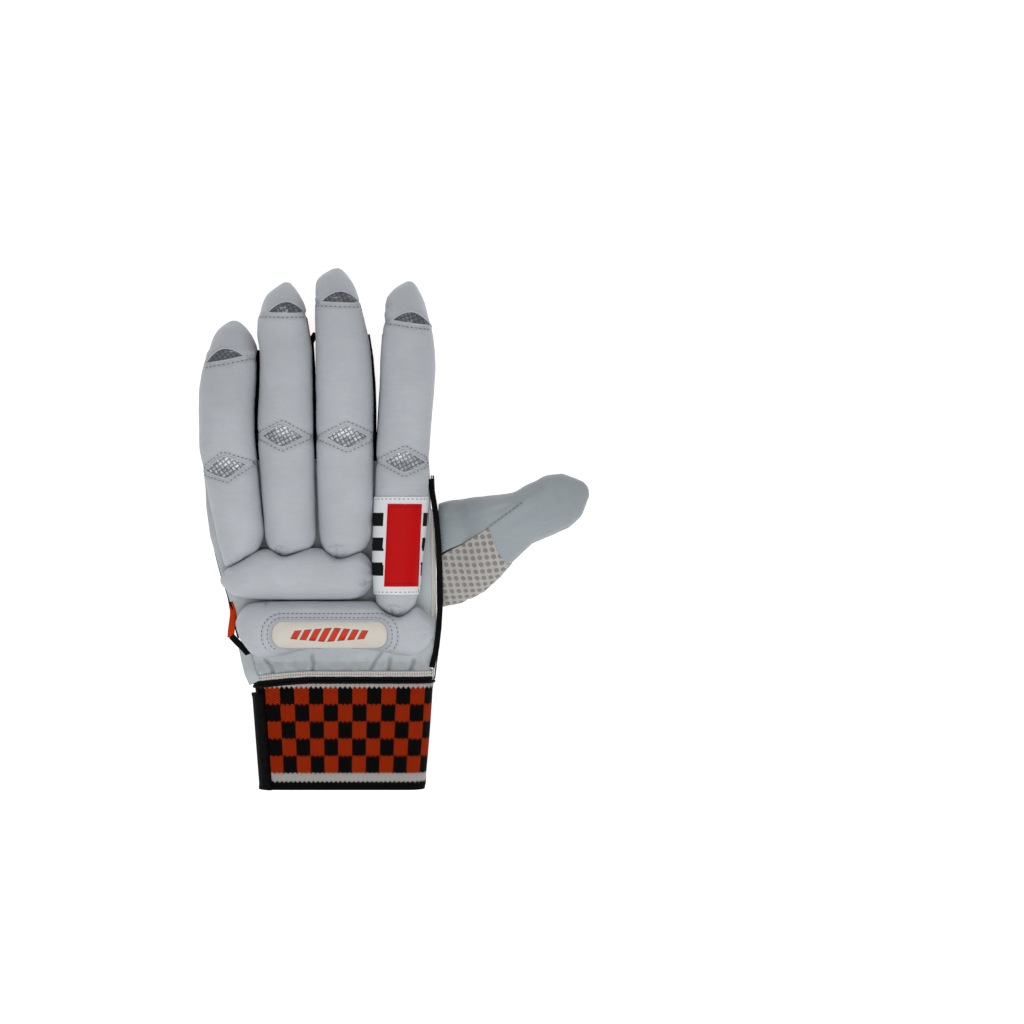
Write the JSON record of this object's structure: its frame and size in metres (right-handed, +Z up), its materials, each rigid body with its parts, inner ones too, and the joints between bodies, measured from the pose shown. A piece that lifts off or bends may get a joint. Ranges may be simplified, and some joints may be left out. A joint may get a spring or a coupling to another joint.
{
  "type": "batting glove",
  "caption": "Left-hand padded cricket batting glove lying palm down, with sewn finger rolls, a checked knit cuff and a wrist strap.",
  "frame": {"origin": "on the flat underside of the palm leather, where the glove rests", "axes": "+Z up out of the back of the hand, +Y along the fingers to their tips, +X to the thumb"},
  "size_m": [0.2061, 0.2775, 0.0406],
  "materials": {
    "roll_leather": "soft satin",
    "leather": "matt",
    "weave_insert": "silver-grey weave under clear film",
    "badge": "gloss",
    "label_white": "satin",
    "label_red": "satin",
    "binding": "knitted tape",
    "orange_mesh": "knitted mesh",
    "white_mesh": "knitted mesh",
    "knit": "ribbed knit in orange and black checks",
    "strap": "webbing",
    "rubber": "matt"
  },
  "bodies": {
    "root": {"little_heel_roll": "roll_leather", "little_middle_roll": "roll_leather", "little_tip_roll": "roll_leather", "ring_heel_roll": "roll_leather", "ring_middle_roll": "roll_leather", "ring_tip_roll": "roll_leather", "middle_heel_roll": "roll_leather", "middle_middle_roll": "roll_leather", "middle_tip_roll": "roll_leather", "index_heel_roll": "roll_leather", "index_middle_roll": "roll_leather", "index_tip_roll": "roll_leather", "knuckle_roll": "roll_leather", "wrist_roll": "roll_leather", "thumb_base_pad": "roll_leather", "thumb_middle_pad": "roll_leather", "thumb_tip_pad": "roll_leather", "little_tip_flap": "leather", "ring_tip_flap": "leather", "middle_tip_flap": "leather", "index_tip_flap": "leather", "palm_panel": "leather", "palm_patch": "leather", "back_panel": "leather", "wrist_gather": "leather", "thumb_leather": "leather", "thumb_floor": "leather", "vent_piping": "leather", "little_knuckle_inset": "weave_insert", "little_tip_inset": "weave_insert", "ring_knuckle_inset": "weave_insert", "ring_tip_inset": "weave_insert", "middle_knuckle_inset": "weave_insert", "middle_tip_inset": "weave_insert", "index_knuckle_inset": "weave_insert", "index_tip_inset": "weave_insert", "badge": "badge", "label_band": "label_white", "label_patch": "label_red", "outer_palm_binding": "binding", "outer_back_binding": "binding", "inner_binding": "binding", "outer_mesh": "orange_mesh", "index_side": "orange_mesh", "gusset_little_ring": "orange_mesh", "gusset_ring_middle": "orange_mesh", "gusset_middle_index": "orange_mesh", "inner_webbing": "white_mesh", "thumb_mesh": "white_mesh", "cuff": "knit", "strap": "strap", "strap_patch": "rubber"}
  },
  "joints": []
}
